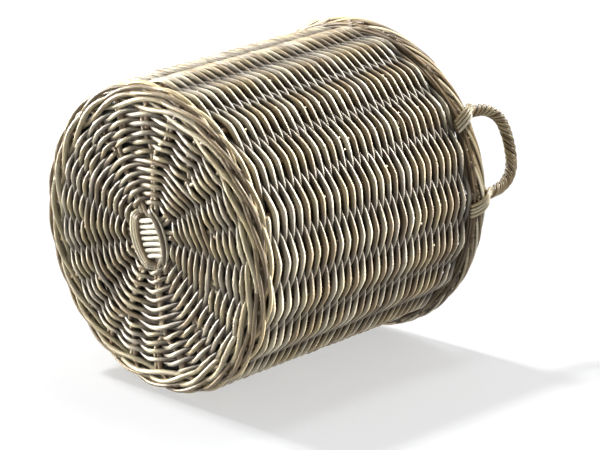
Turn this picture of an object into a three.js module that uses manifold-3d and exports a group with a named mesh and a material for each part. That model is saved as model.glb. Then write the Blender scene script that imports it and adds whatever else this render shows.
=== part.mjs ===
// A round planter basket of natural cane: a flat woven base on crossed sticks, side stakes that turn up
// at the base's edge, a woven wall that flares a little, a rolled border, two twisted handles and a liner.
// Millimetres, Z up, the origin on the ground under the middle. The handles stand on the X axis.
import * as THREE from "three";
import { mergeVertices } from "three/addons/utils/BufferGeometryUtils.js";
import Module from "manifold-3d";

const wasm = await Module();
wasm.setup();

// The room left between pieces that touch.
const clearance = 0.3;

// The canes
const stickDiameter = 5.5;
const stakeDiameter = 6.0;
const baseWeaverDiameter = 5.0;
const wallWeaverDiameter = 6.3;

// The base: seven sticks laid across four, a little off the middle, and the weaving round them.
// The ends leave the crossing in pairs, and the pairs are opened out further on.
const longStickCount = 7;
const crossStickCount = 4;
const stickPitch = 6.8;
const stickLayerGap = 6.0;
const baseLift = 0.25;
const crossingOffsetX = 7.2;
const crossingOffsetY = -3.9;
const crossingTurnDegrees = 5.0;
const firstEndDegrees = 8.0;
const slathBindingRadius = 33.0;
const pairingSetback = 2.0;
const openingOutRadius = 103.0;
const baseWeaveRadius = 153.0;
const stickEndSetback = 5.0;
const edgeWaleWidth = 13.0;
const edgeWaleHeight = 13.5;
const edgeWaleBevel = 2.5;

// The wall, on a circle of upright stakes that lean outward. The stand-off is from the base's edge wale,
// and the skin is the least that the weaving leaves over a stake.
const stakeCount = 21;
const firstStakeDegrees = -2.8;
const stakeStandOff = 3.7;
const stakeBendRadius = 9.0;
const stakeDepthInBase = 25.0;
const stakeTurnSetback = 4.0;
const wallFlare = 0.0381;
const wallRowPitch = 5.84;
const wallSkin = 1.5;
const footWaleHeight = 8.0;
const footWaleBevel = 2.3;
const wallTopHeight = 345.0;

// The rolled border on top
const borderWidth = 24.0;
const borderHeight = 20.5;
const borderBevel = 3.5;
const borderOverhang = 5.5;
const stakeDepthInBorder = 8.0;

// The handles: a bent core, the twisted rope of canes round it, and a binding over the border at each foot
const handleSpread = 100.0;
const handleFootOutset = 1.0;
const handleRise = 59.0;
const handleFootRun = 3.0;
const handleLean = 5.5;
const handleSquareness = 0.726;
const handleCoreDiameter = 7.0;
const handleRopeDiameter = 15.0;
const handleLegDepth = 70.0;
const bindingWidth = 16.0;
const bindingThickness = 4.0;
const bindingPlay = 1.2;
const bindingDrop = 27.0;
const bindingInnerDrop = 10.0;

// The plastic liner inside, whose hem stands behind the border, just under the handles' bindings
const linerThickness = 1.0;

// How finely the round shapes are cut
const rodSides = 6;
const ropeSides = 8;
const ringSteps = 2 * stakeCount;
const bendSteps = 2;
const handleSteps = 18;

// Values that follow from the ones above
const endCount = 2 * (longStickCount + crossStickCount);
const endPitch = (2 * Math.PI) / endCount;
const firstEnd = THREE.MathUtils.degToRad(firstEndDegrees);
const stakePitch = (2 * Math.PI) / stakeCount;
const firstStake = THREE.MathUtils.degToRad(firstStakeDegrees);
const crossing = new THREE.Vector3(crossingOffsetX, crossingOffsetY, 0);
const crossingTurn = THREE.MathUtils.degToRad(crossingTurnDegrees);
const crossingHalfLength = (crossStickCount * stickPitch) / 2;
const crossingHalfWidth = (longStickCount * stickPitch) / 2;
const baseHalfHeight = stickDiameter / 2 + baseWeaverDiameter;
const baseBottom = baseLift;
const baseAxisHeight = baseBottom + baseHalfHeight;
const baseTop = baseAxisHeight + baseHalfHeight;
const edgeWaleInner = baseWeaveRadius + clearance;
const edgeWaleOuter = edgeWaleInner + edgeWaleWidth;
const stakeCircleRadius = edgeWaleOuter + stakeStandOff;
const stakeCircleHeight = baseAxisHeight + stakeBendRadius;
const wallHalfWidth = stakeDiameter / 2 + wallWeaverDiameter;
const wallThinHalf = wallWeaverDiameter / 2;
const footWaleBottom = edgeWaleHeight + clearance;
const footWaleTop = footWaleBottom + footWaleHeight;
const wallBottomHeight = footWaleTop + clearance;
const firstRowHeight = wallBottomHeight + wallWeaverDiameter / 2;
const borderBottom = wallTopHeight + clearance;
const borderTop = borderBottom + borderHeight;
const borderInner = stakeRadiusAt(wallTopHeight) + borderOverhang - borderWidth / 2;
const borderOuter = borderInner + borderWidth;
const bindingTop = borderTop + bindingPlay + bindingThickness;
const ropeFootHeight = bindingTop + clearance;
const handleFootRadius = (borderInner + borderOuter) / 2 + handleFootOutset;
const handleFootAngle = Math.asin(handleSpread / 2 / handleFootRadius);

// The radius of the circle that the stakes' axes stand on, at a height.
function stakeRadiusAt(height) {
  return stakeCircleRadius + wallFlare * (height - stakeCircleHeight);
}

function polar(radius, angle, height) {
  return new THREE.Vector3(radius * Math.cos(angle), radius * Math.sin(angle), height);
}

// A route through given points, with a mitre at each of them.
class Route extends THREE.Curve {
  constructor(points) {
    super();
    this.points = points;
  }

  getPoint(t, target = new THREE.Vector3()) {
    const last = this.points.length - 1;
    const place = t * last;
    const first = Math.min(Math.floor(place + 1e-9), last - 1);
    return target.lerpVectors(this.points[first], this.points[first + 1], place - first);
  }

  getPointAt(t, target) {
    return this.getPoint(t, target);
  }

  getTangentAt(t, target = new THREE.Vector3()) {
    const last = this.points.length - 1;
    const here = Math.round(t * last);
    const arriving = Math.max(here, 1);
    const leaving = Math.min(here, last - 1);
    const before = this.points[arriving].clone().sub(this.points[arriving - 1]).normalize();
    const after = this.points[leaving + 1].clone().sub(this.points[leaving]).normalize();
    return target.copy(before.add(after)).normalize();
  }
}

function polygon(radius, sides) {
  const corners = [];
  for (let i = 0; i < sides; i += 1) {
    const angle = (2 * Math.PI * i) / sides;
    corners.push(new THREE.Vector2(radius * Math.cos(angle), radius * Math.sin(angle)));
  }
  return corners;
}

// A rod along the points, with a bore along it where one is asked for.
function rod(points, radius, sides = rodSides, boreRadius = 0) {
  const section = new THREE.Shape(polygon(radius, sides));
  if (boreRadius > 0) section.holes.push(new THREE.Path(polygon(boreRadius, rodSides)));
  return new THREE.ExtrudeGeometry(section, {
    steps: points.length - 1,
    extrudePath: new Route(points),
    bevelEnabled: false,
  });
}

// The room that a rod takes up in the pieces round it.
function tunnel(points, radius) {
  const last = points.length - 1;
  const start = points[0].clone().sub(points[1]).setLength(clearance).add(points[0]);
  const end = points[last].clone().sub(points[last - 1]).setLength(clearance).add(points[last]);
  return rod([start, ...points.slice(1, last), end], radius + clearance);
}

// A ring turned about Z, with a bevel along each edge of its section.
function ring(inner, outer, bottom, top, bevel) {
  const profile = [
    [inner + bevel, bottom],
    [outer - bevel, bottom],
    [outer, bottom + bevel],
    [outer, top - bevel],
    [outer - bevel, top],
    [inner + bevel, top],
    [inner, top - bevel],
    [inner, bottom + bevel],
    [inner + bevel, bottom],
  ];
  const corners = profile.map(([radius, height]) => new THREE.Vector2(radius, height));
  return new THREE.LatheGeometry(corners, ringSteps).rotateX(Math.PI / 2).rotateZ(Math.PI / 2);
}

// A flat plate of a shape, between two heights.
function plate(shape, bottom, top) {
  return new THREE.ExtrudeGeometry(shape, { depth: top - bottom, bevelEnabled: false }).translate(0, 0, bottom);
}

// A mesh as a solid that can be cut, and back.
function solidOf(geometry) {
  const bare = geometry.clone();
  bare.deleteAttribute("normal");
  bare.deleteAttribute("uv");
  const merged = mergeVertices(bare, 1e-4);
  return new wasm.Manifold(
    new wasm.Mesh({
      numProp: 3,
      vertProperties: new Float32Array(merged.attributes.position.array),
      triVerts: new Uint32Array(merged.index.array),
    }),
  );
}

function geometryOf(solid) {
  const mesh = solid.getMesh();
  const geometry = new THREE.BufferGeometry();
  geometry.setAttribute("position", new THREE.BufferAttribute(new Float32Array(mesh.vertProperties), 3));
  geometry.setIndex(new THREE.BufferAttribute(new Uint32Array(mesh.triVerts), 1));
  geometry.computeVertexNormals();
  return geometry;
}

// A geometry less the tunnels that reach into it.
function carve(geometry, tunnels) {
  let solid = solidOf(geometry);
  for (const each of tunnels) solid = solid.subtract(solidOf(each));
  return geometryOf(solid);
}

// Colours and finishes of the dry, weathered cane and of the liner
function finish(color, roughness) {
  return new THREE.MeshStandardMaterial({ color, roughness, metalness: 0 });
}

const finishes = {
  grey: finish(0x8f8168, 0.62),
  brown: finish(0x6b5a40, 0.68),
  pale: finish(0xd8ccb0, 0.58),
  silver: finish(0xb9ae99, 0.55),
  plastic: finish(0x1d1c1b, 0.4),
};

const basket = new THREE.Group();

function addPiece(name, geometry, finishName) {
  const mesh = new THREE.Mesh(geometry, finishes[finishName]);
  mesh.name = name;
  basket.add(mesh);
}

// The angle of an end of a base stick near the base's edge, and of the pair that it leaves the crossing in.
// Ends are counted from the one nearest +X.
function endAngle(index) {
  return firstEnd + index * endPitch;
}

function pairAngle(index) {
  const firstOfPair = index - ((index + 1) % 2);
  return endAngle(firstOfPair + 0.5);
}

// One end of a stick, from the edge of the crossing outward. Heading is the way the stick points, and
// offset is how far to its left it lies.
function stickEnd(heading, half, offset, index, height) {
  const start = polar(half, heading, height).add(polar(offset, heading + Math.PI / 2, 0)).add(crossing);
  const pair = pairAngle(index);
  const side = index % 2 === 1 ? -1 : 1;
  const apart = polar(side * (stickDiameter / 2 + clearance), pair + Math.PI / 2, 0);
  return [
    start,
    polar(slathBindingRadius - pairingSetback, pair, baseAxisHeight).add(crossing).add(apart),
    polar(openingOutRadius + stickDiameter / 2, pair, baseAxisHeight).add(apart),
    polar((openingOutRadius + baseWeaveRadius) / 2, endAngle(index), baseAxisHeight),
    polar(baseWeaveRadius - stickEndSetback, endAngle(index), baseAxisHeight),
  ];
}

// Lays the sticks of one layer of the crossing, counting their near ends on from the first.
function laySticks(name, count, heading, half, firstIndex, height) {
  const routes = [];
  for (let i = 0; i < count; i += 1) {
    const offset = (i - (count - 1) / 2) * stickPitch;
    const nearIndex = (firstIndex + i + endCount) % endCount;
    const farIndex = (firstIndex + endCount / 2 + count - 1 - i) % endCount;
    const near = stickEnd(heading, half, offset, nearIndex, height);
    const far = stickEnd(heading + Math.PI, half, -offset, farIndex, height);
    routes.push({ name: `${name}_${i + 1}`, points: [...far.reverse(), ...near] });
  }
  return routes;
}

const firstLongEnd = -Math.floor(longStickCount / 2);
const firstCrossEnd = firstLongEnd + longStickCount;
const lowLayer = baseAxisHeight - stickLayerGap / 2;
const highLayer = baseAxisHeight + stickLayerGap / 2;
const crossHeading = crossingTurn + Math.PI / 2;
const sticks = [
  ...laySticks("base_stick", longStickCount, crossingTurn, crossingHalfLength, firstLongEnd, lowLayer),
  ...laySticks("cross_stick", crossStickCount, crossHeading, crossingHalfWidth, firstCrossEnd, highLayer),
];

// A side stake starts beside the nearest stick end in the base, turns up past the base's edge and stands
// in the wall and the border.
function stakeRoute(index) {
  const angle = firstStake + index * stakePitch;
  const nearest = endAngle(Math.round((angle - firstEnd) / endPitch));
  const side = angle < nearest ? -1 : 1;
  const beside = (stickDiameter + stakeDiameter) / 2 + 2 * clearance;
  const innerRadius = baseWeaveRadius - stakeDepthInBase;
  const outerRadius = baseWeaveRadius - stakeTurnSetback;
  const innerTurn = Math.asin(beside / innerRadius);
  const outerTurn = Math.max(Math.asin(beside / outerRadius), Math.abs(angle - nearest) / 3);
  const points = [
    polar(innerRadius, nearest + side * innerTurn, baseAxisHeight),
    polar(outerRadius, nearest + side * outerTurn, baseAxisHeight),
  ];
  for (let i = 0; i <= bendSteps; i += 1) {
    const bend = (Math.PI / 2) * (i / bendSteps);
    const radius = stakeCircleRadius - stakeBendRadius * (1 - Math.sin(bend));
    points.push(polar(radius, angle, baseAxisHeight + stakeBendRadius * (1 - Math.cos(bend))));
  }
  const top = borderBottom + stakeDepthInBorder;
  points.push(polar(stakeRadiusAt(top), angle, top));
  return points;
}

const stakes = [];
for (let i = 0; i < stakeCount; i += 1) {
  stakes.push({ name: `side_stake_${i + 1}`, points: stakeRoute(i) });
}

// A handle's arch, from one foot to the other. Side is 1 at +X and -1 at the opposite side.
function archPoints(side) {
  const footX = handleFootRadius * Math.cos(handleFootAngle);
  const springing = ropeFootHeight + handleFootRun;
  const points = [new THREE.Vector3(side * footX, (side * handleSpread) / 2, ropeFootHeight)];
  for (let i = 0; i <= handleSteps; i += 1) {
    const turn = (Math.PI * i) / handleSteps;
    const out = Math.sign(Math.cos(turn)) * Math.abs(Math.cos(turn)) ** handleSquareness;
    const up = i === 0 || i === handleSteps ? 0 : Math.sin(turn) ** handleSquareness;
    const x = footX + handleLean * up;
    points.push(new THREE.Vector3(side * x, (side * out * handleSpread) / 2, springing + handleRise * up));
  }
  points.push(new THREE.Vector3(side * footX, (-side * handleSpread) / 2, ropeFootHeight));
  return points;
}

// The angle that a handle's leg stands at in the wall: its foot's own, or beside the stake that is in the way.
function legAngle(footAngle) {
  const nearest = firstStake + Math.round((footAngle - firstStake) / stakePitch) * stakePitch;
  const room = (stakeDiameter + handleCoreDiameter) / 2 + 4 * clearance;
  const roomAngle = Math.asin(room / stakeRadiusAt(wallTopHeight - handleLegDepth));
  const side = footAngle < nearest ? -1 : 1;
  return nearest + side * Math.max(Math.abs(footAngle - nearest), roomAngle);
}

// The leg of a handle's core, from inside the wall up to just below the rope's foot.
function legPoints(footAngle) {
  const angle = legAngle(footAngle);
  const legEnd = wallTopHeight - handleLegDepth;
  const bend = wallTopHeight - stakeDiameter;
  return [
    polar(stakeRadiusAt(legEnd), angle, legEnd),
    polar(stakeRadiusAt(bend), angle, bend),
    polar(handleFootRadius, angle, borderTop - stakeDepthInBorder),
    polar(handleFootRadius, footAngle, ropeFootHeight - handleFootRun),
  ];
}

const handles = [1, -1].map((side) => {
  const middle = side > 0 ? 0 : Math.PI;
  const arch = archPoints(side);
  const footAngles = [middle + handleFootAngle, middle - handleFootAngle];
  const core = [...legPoints(footAngles[0]), ...arch, ...legPoints(footAngles[1]).reverse()];
  return { arch, core, footAngles };
});

// The wall's outside, as its weaver winds up round the stakes: it passes outside one stake and inside
// the next. There is a place on it at each stake and one halfway between two. Places are counted along
// the weaver, so the place above is one turn on.
function weaverPlace(place) {
  const atStake = place % 2 === 0;
  const outside = place % 4 === 0;
  const offset = outside ? wallHalfWidth : stakeDiameter / 2 + clearance + wallSkin;
  return wallPoint(place, firstRowHeight + (wallRowPitch * place) / ringSteps, atStake ? offset : wallThinHalf);
}

function wallPoint(place, height, offset) {
  return polar(stakeRadiusAt(height) + offset, firstStake + (place * stakePitch) / 2, height);
}

// A corner of the wall's flat top or bottom, outside or inside.
function wallCorner(place, height, side) {
  const atStake = place % 2 === 0;
  const outer = atStake ? wallWeaverDiameter : wallThinHalf;
  const inner = atStake ? wallHalfWidth : wallThinHalf;
  return wallPoint(place, height, side > 0 ? outer : -inner);
}

function wovenWall() {
  const rowCount = Math.floor((wallTopHeight - wallThinHalf - firstRowHeight) / wallRowPitch);
  const lastPlace = rowCount * ringSteps;
  const points = [];
  for (let place = 0; place <= lastPlace; place += 1) points.push(weaverPlace(place));
  const corners = [];
  for (const [height, side] of [
    [wallBottomHeight, 1],
    [wallTopHeight, 1],
    [wallBottomHeight, -1],
    [wallTopHeight, -1],
  ]) {
    corners.push(points.length);
    for (let place = 0; place < ringSteps; place += 1) points.push(wallCorner(place, height, side));
  }
  const [bottomOut, topOut, bottomIn, topIn] = corners;
  const faces = [];
  const square = (a, b, c, d) => faces.push(a, b, c, a, c, d);
  // Each square is split from its corner outside the stake, so that the weaver stands out fully there.
  for (let place = 0; place < lastPlace - ringSteps; place += 1) {
    const [a, b, c, d] = [place, place + 1, place + 1 + ringSteps, place + ringSteps];
    if (place % 4 < 2) square(a, b, c, d);
    else square(b, c, d, a);
  }
  const lastTurn = lastPlace - ringSteps;
  for (let i = 0; i < ringSteps; i += 1) {
    const next = (i + 1) % ringSteps;
    square(bottomOut + i, bottomOut + next, i + 1, i);
    square(lastTurn + i, lastTurn + i + 1, topOut + next, topOut + i);
    square(bottomOut + i, bottomIn + i, bottomIn + next, bottomOut + next);
    square(topOut + i, topOut + next, topIn + next, topIn + i);
    square(bottomIn + i, topIn + i, topIn + next, bottomIn + next);
  }
  // The steps where the weaver starts and ends
  faces.push(bottomOut, 0, ringSteps, lastTurn, topOut, lastPlace);
  const geometry = new THREE.BufferGeometry().setFromPoints(points);
  geometry.setIndex(faces);
  return geometry;
}

// A solid round body that follows the wall's flare, between two heights and a given way inside the wall.
function insideWall(setback, bottom, top) {
  const radiusAt = (height) => stakeRadiusAt(height) - wallHalfWidth - clearance - setback;
  const geometry = new THREE.CylinderGeometry(radiusAt(top), radiusAt(bottom), top - bottom, ringSteps);
  return geometry.rotateX(Math.PI / 2).rotateZ(Math.PI / 2).translate(0, 0, (bottom + top) / 2);
}

// The strands that bind a handle's foot down: over the border, and down its outside to the weave below.
function bindingSaddle(angle) {
  const inner = borderInner - bindingPlay;
  const outer = borderOuter + bindingPlay;
  const top = borderTop + bindingPlay;
  const thick = bindingThickness;
  const tuck = borderTop - bindingDrop;
  const tuckRadius = stakeRadiusAt(tuck) + wallHalfWidth + bindingPlay;
  const innerEnd = borderTop - bindingInnerDrop;
  const corner = thick / 2;
  const section = new THREE.Shape();
  section.moveTo(tuckRadius, tuck);
  section.lineTo(outer, borderBottom + borderBevel);
  section.lineTo(outer, top - borderBevel);
  section.lineTo(outer - borderBevel, top);
  section.lineTo(inner + borderBevel, top);
  section.lineTo(inner, top - borderBevel);
  section.lineTo(inner, innerEnd);
  section.lineTo(inner - thick, innerEnd);
  section.lineTo(inner - thick, top - corner);
  section.lineTo(inner + corner, top + thick);
  section.lineTo(outer - corner, top + thick);
  section.lineTo(outer + thick, top - corner);
  section.lineTo(outer + thick, borderBottom + corner);
  section.lineTo(tuckRadius + thick, tuck - corner);
  section.closePath();
  const geometry = new THREE.ExtrudeGeometry(section, { depth: bindingWidth, bevelEnabled: false });
  return geometry.translate(0, 0, -bindingWidth / 2).rotateX(Math.PI / 2).rotateZ(angle);
}

// The room that the rods take up in the woven pieces
const stickTunnels = sticks.map(({ points }) => tunnel(points, stickDiameter / 2));
const stakeTunnels = stakes.map(({ points }) => tunnel(points, stakeDiameter / 2));
const coreTunnels = handles.map(({ core }) => tunnel(core, handleCoreDiameter / 2));

for (const { name, points } of sticks) {
  addPiece(name, rod(points, stickDiameter / 2), "pale");
}
for (const { name, points } of stakes) {
  addPiece(name, rod(points, stakeDiameter / 2), "brown");
}

// The binding round the crossing leaves the crossed sticks bare in a rectangle.
const bindingShape = new THREE.Shape(polygon(slathBindingRadius, ringSteps));
const bareHalfLength = crossingHalfLength;
const bareHalfWidth = crossingHalfWidth;
bindingShape.holes.push(
  new THREE.Path([
    new THREE.Vector2(bareHalfLength, bareHalfWidth),
    new THREE.Vector2(-bareHalfLength, bareHalfWidth),
    new THREE.Vector2(-bareHalfLength, -bareHalfWidth),
    new THREE.Vector2(bareHalfLength, -bareHalfWidth),
  ]),
);
const slathBinding = plate(bindingShape, baseBottom, baseTop).rotateZ(crossingTurn);
slathBinding.translate(crossing.x, crossing.y, 0);
addPiece("slath_binding", carve(slathBinding, stickTunnels), "brown");

const innerShape = new THREE.Shape(polygon(openingOutRadius, ringSteps));
const innerHole = polygon(slathBindingRadius + clearance, ringSteps);
innerShape.holes.push(new THREE.Path(innerHole.map((p) => p.add(new THREE.Vector2(crossing.x, crossing.y)))));
addPiece("base_weave_inner", carve(plate(innerShape, baseBottom, baseTop), stickTunnels), "grey");

const outerShape = new THREE.Shape(polygon(baseWeaveRadius, ringSteps));
outerShape.holes.push(new THREE.Path(polygon(openingOutRadius + clearance, ringSteps)));
const outerWeave = plate(outerShape, baseBottom, baseTop);
addPiece("base_weave_outer", carve(outerWeave, [...stickTunnels, ...stakeTunnels]), "grey");

const edgeWale = ring(edgeWaleInner, edgeWaleOuter, 0, edgeWaleHeight, edgeWaleBevel);
addPiece("base_edge_wale", carve(edgeWale, stakeTunnels), "grey");

const footWaleRadius = stakeRadiusAt(stakeCircleHeight);
const footWaleInner = footWaleRadius - wallHalfWidth;
const footWaleOuter = footWaleRadius + wallHalfWidth;
const footWale = ring(footWaleInner, footWaleOuter, footWaleBottom, footWaleTop, footWaleBevel);
addPiece("foot_wale", carve(footWale, stakeTunnels), "grey");

addPiece("wall_weave", carve(wovenWall(), [...stakeTunnels, ...coreTunnels]), "grey");

// The liner stands on the base and follows the wall.
const linerBottom = baseTop + clearance;
const linerTop = borderTop - bindingInnerDrop - clearance;
const linerHollow = insideWall(linerThickness, linerBottom + linerThickness, linerTop + clearance);
addPiece("liner", carve(insideWall(0, linerBottom, linerTop), [linerHollow]), "plastic");

const border = ring(borderInner, borderOuter, borderBottom, borderTop, borderBevel);
addPiece("rim_border", carve(border, [...stakeTunnels, ...coreTunnels]), "grey");

handles.forEach(({ arch, core, footAngles }, index) => {
  const name = `handle_${index + 1}`;
  const coreRadius = handleCoreDiameter / 2;
  addPiece(`${name}_core`, rod(core, coreRadius), "brown");
  addPiece(`${name}_rope`, rod(arch, handleRopeDiameter / 2, ropeSides, coreRadius + clearance), "silver");
  footAngles.forEach((angle, foot) => {
    addPiece(`${name}_binding_${foot + 1}`, carve(bindingSaddle(angle), [coreTunnels[index]]), "silver");
  });
});

export default basket;
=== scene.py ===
import math

import bpy
import numpy as np
from mathutils import Matrix, Vector


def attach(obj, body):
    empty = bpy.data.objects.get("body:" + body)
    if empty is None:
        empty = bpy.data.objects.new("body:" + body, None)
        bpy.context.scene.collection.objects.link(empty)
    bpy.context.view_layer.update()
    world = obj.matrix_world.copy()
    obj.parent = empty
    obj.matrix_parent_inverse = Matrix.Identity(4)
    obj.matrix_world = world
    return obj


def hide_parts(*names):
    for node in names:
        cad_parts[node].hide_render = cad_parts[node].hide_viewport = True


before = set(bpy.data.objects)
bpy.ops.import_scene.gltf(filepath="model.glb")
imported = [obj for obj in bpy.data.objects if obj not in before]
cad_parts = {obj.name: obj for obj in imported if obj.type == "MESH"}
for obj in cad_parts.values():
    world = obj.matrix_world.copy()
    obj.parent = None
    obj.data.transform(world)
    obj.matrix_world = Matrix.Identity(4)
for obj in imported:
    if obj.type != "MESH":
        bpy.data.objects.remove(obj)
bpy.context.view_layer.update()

# Lengths below are in millimetres, as in the part's source. The basket stands on Z, and its handles on X.
MM = 0.001
CLEARANCE = 0.3
STICK_DIAMETER = 5.5
STAKE_DIAMETER = 6.0
LONG_STICKS = 7
CROSS_STICKS = 4
STICK_PITCH = 6.8
STICK_LAYER_GAP = 6.0
BASE_AXIS_HEIGHT = 8.0
CROSSING = np.array([7.2, -3.9, 0.0])
LONG_STICK_TURN = math.radians(4.0)
CROSS_STICK_TURN = math.radians(0.5)
BINDING_TURN = math.radians(-2.0)
FIRST_END = math.radians(8.0)
END_COUNT = 2 * (LONG_STICKS + CROSS_STICKS)
END_PITCH = 2 * math.pi / END_COUNT
SLATH_RADIUS = 33.0
OPENING_OUT_RADIUS = 103.0
BASE_WEAVE_RADIUS = 153.0
STAKE_COUNT = 21
FIRST_STAKE = math.radians(-2.8)
STAKE_PITCH = 2 * math.pi / STAKE_COUNT
STAKE_CIRCLE_RADIUS = 170.0
STAKE_CIRCLE_HEIGHT = 17.0
STAKE_BEND_RADIUS = 9.0
STAKE_DEPTH_IN_BASE = 25.0
WALL_FLARE = 0.0381
WALL_TOP = 345.0
BORDER_BOTTOM = WALL_TOP + CLEARANCE
BORDER_TOP = BORDER_BOTTOM + 20.5
STAKE_TOP = BORDER_BOTTOM + 8.0

# Every random draw comes from this generator, in a fixed order, so each run gives the same basket.
rng = np.random.default_rng(21)


def polar(radius, angle, height):
    """Points at a radius, angle and height, which are numbers or arrays."""
    radius, angle, height = np.broadcast_arrays(radius, angle, height)
    return np.stack([radius * np.cos(angle), radius * np.sin(angle), height + 0.0 * radius], -1)


def stake_radius(height):
    """How far the stakes' axes are from the basket's axis, in the part of them that stands."""
    return STAKE_CIRCLE_RADIUS + WALL_FLARE * (height - STAKE_CIRCLE_HEIGHT)


def unit(vectors):
    return vectors / np.maximum(np.linalg.norm(vectors, axis=-1, keepdims=True), 1e-9)


def ease(values, low, high):
    """A smooth step from 0 at low to 1 at high."""
    share = np.clip((values - low) / (high - low), 0, 1)
    return share * share * (3 - 2 * share)


def travelled(line):
    """How far along the line each of its points is."""
    return np.concatenate([[0], np.cumsum(np.linalg.norm(np.diff(line, axis=0), axis=1))])


def smooth_route(points, step):
    """A smooth line through the points, with a place on it about every step millimetres."""
    points = np.asarray(points, float)
    ends = np.vstack([2 * points[0] - points[1], points, 2 * points[-1] - points[-2]])
    line = [points[0]]
    for i in range(1, len(ends) - 2):
        p0, p1, p2, p3 = ends[i - 1 : i + 3]
        size = np.linalg.norm(p2 - p1)
        before = (p2 - p0) * size / max(np.linalg.norm(p2 - p1) + np.linalg.norm(p1 - p0), 1e-6)
        after = (p3 - p1) * size / max(np.linalg.norm(p3 - p2) + np.linalg.norm(p2 - p1), 1e-6)
        count = max(2, int(round(size / step)))
        t = np.linspace(0, 1, count + 1)[1:, None]
        line.extend(
            (2 * t**3 - 3 * t**2 + 1) * p1
            + (t**3 - 2 * t**2 + t) * before
            + (3 * t**2 - 2 * t**3) * p2
            + (t**3 - t**2) * after
        )
    return np.array(line)


def wander(places, spacing, size):
    """A slow random drift, with a value for each place in millimetres along a cane. It has a new random
    value every spacing millimetres, and size is how far these spread."""
    low, high = places.min(), places.max()
    knots = np.arange(low - spacing, high + 3 * spacing, spacing)
    values = rng.normal(0, size, len(knots))
    at = (places - knots[0]) / spacing
    first = np.clip(at.astype(int), 0, len(knots) - 2)
    share = ease(at - first, 0, 1)
    return values[first] * (1 - share) + values[first + 1] * share


def new_object(name, data):
    """Puts a mesh, a lamp or a camera into the scene."""
    made = bpy.data.objects.new(name, data)
    bpy.context.scene.collection.objects.link(made)
    return made


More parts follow.
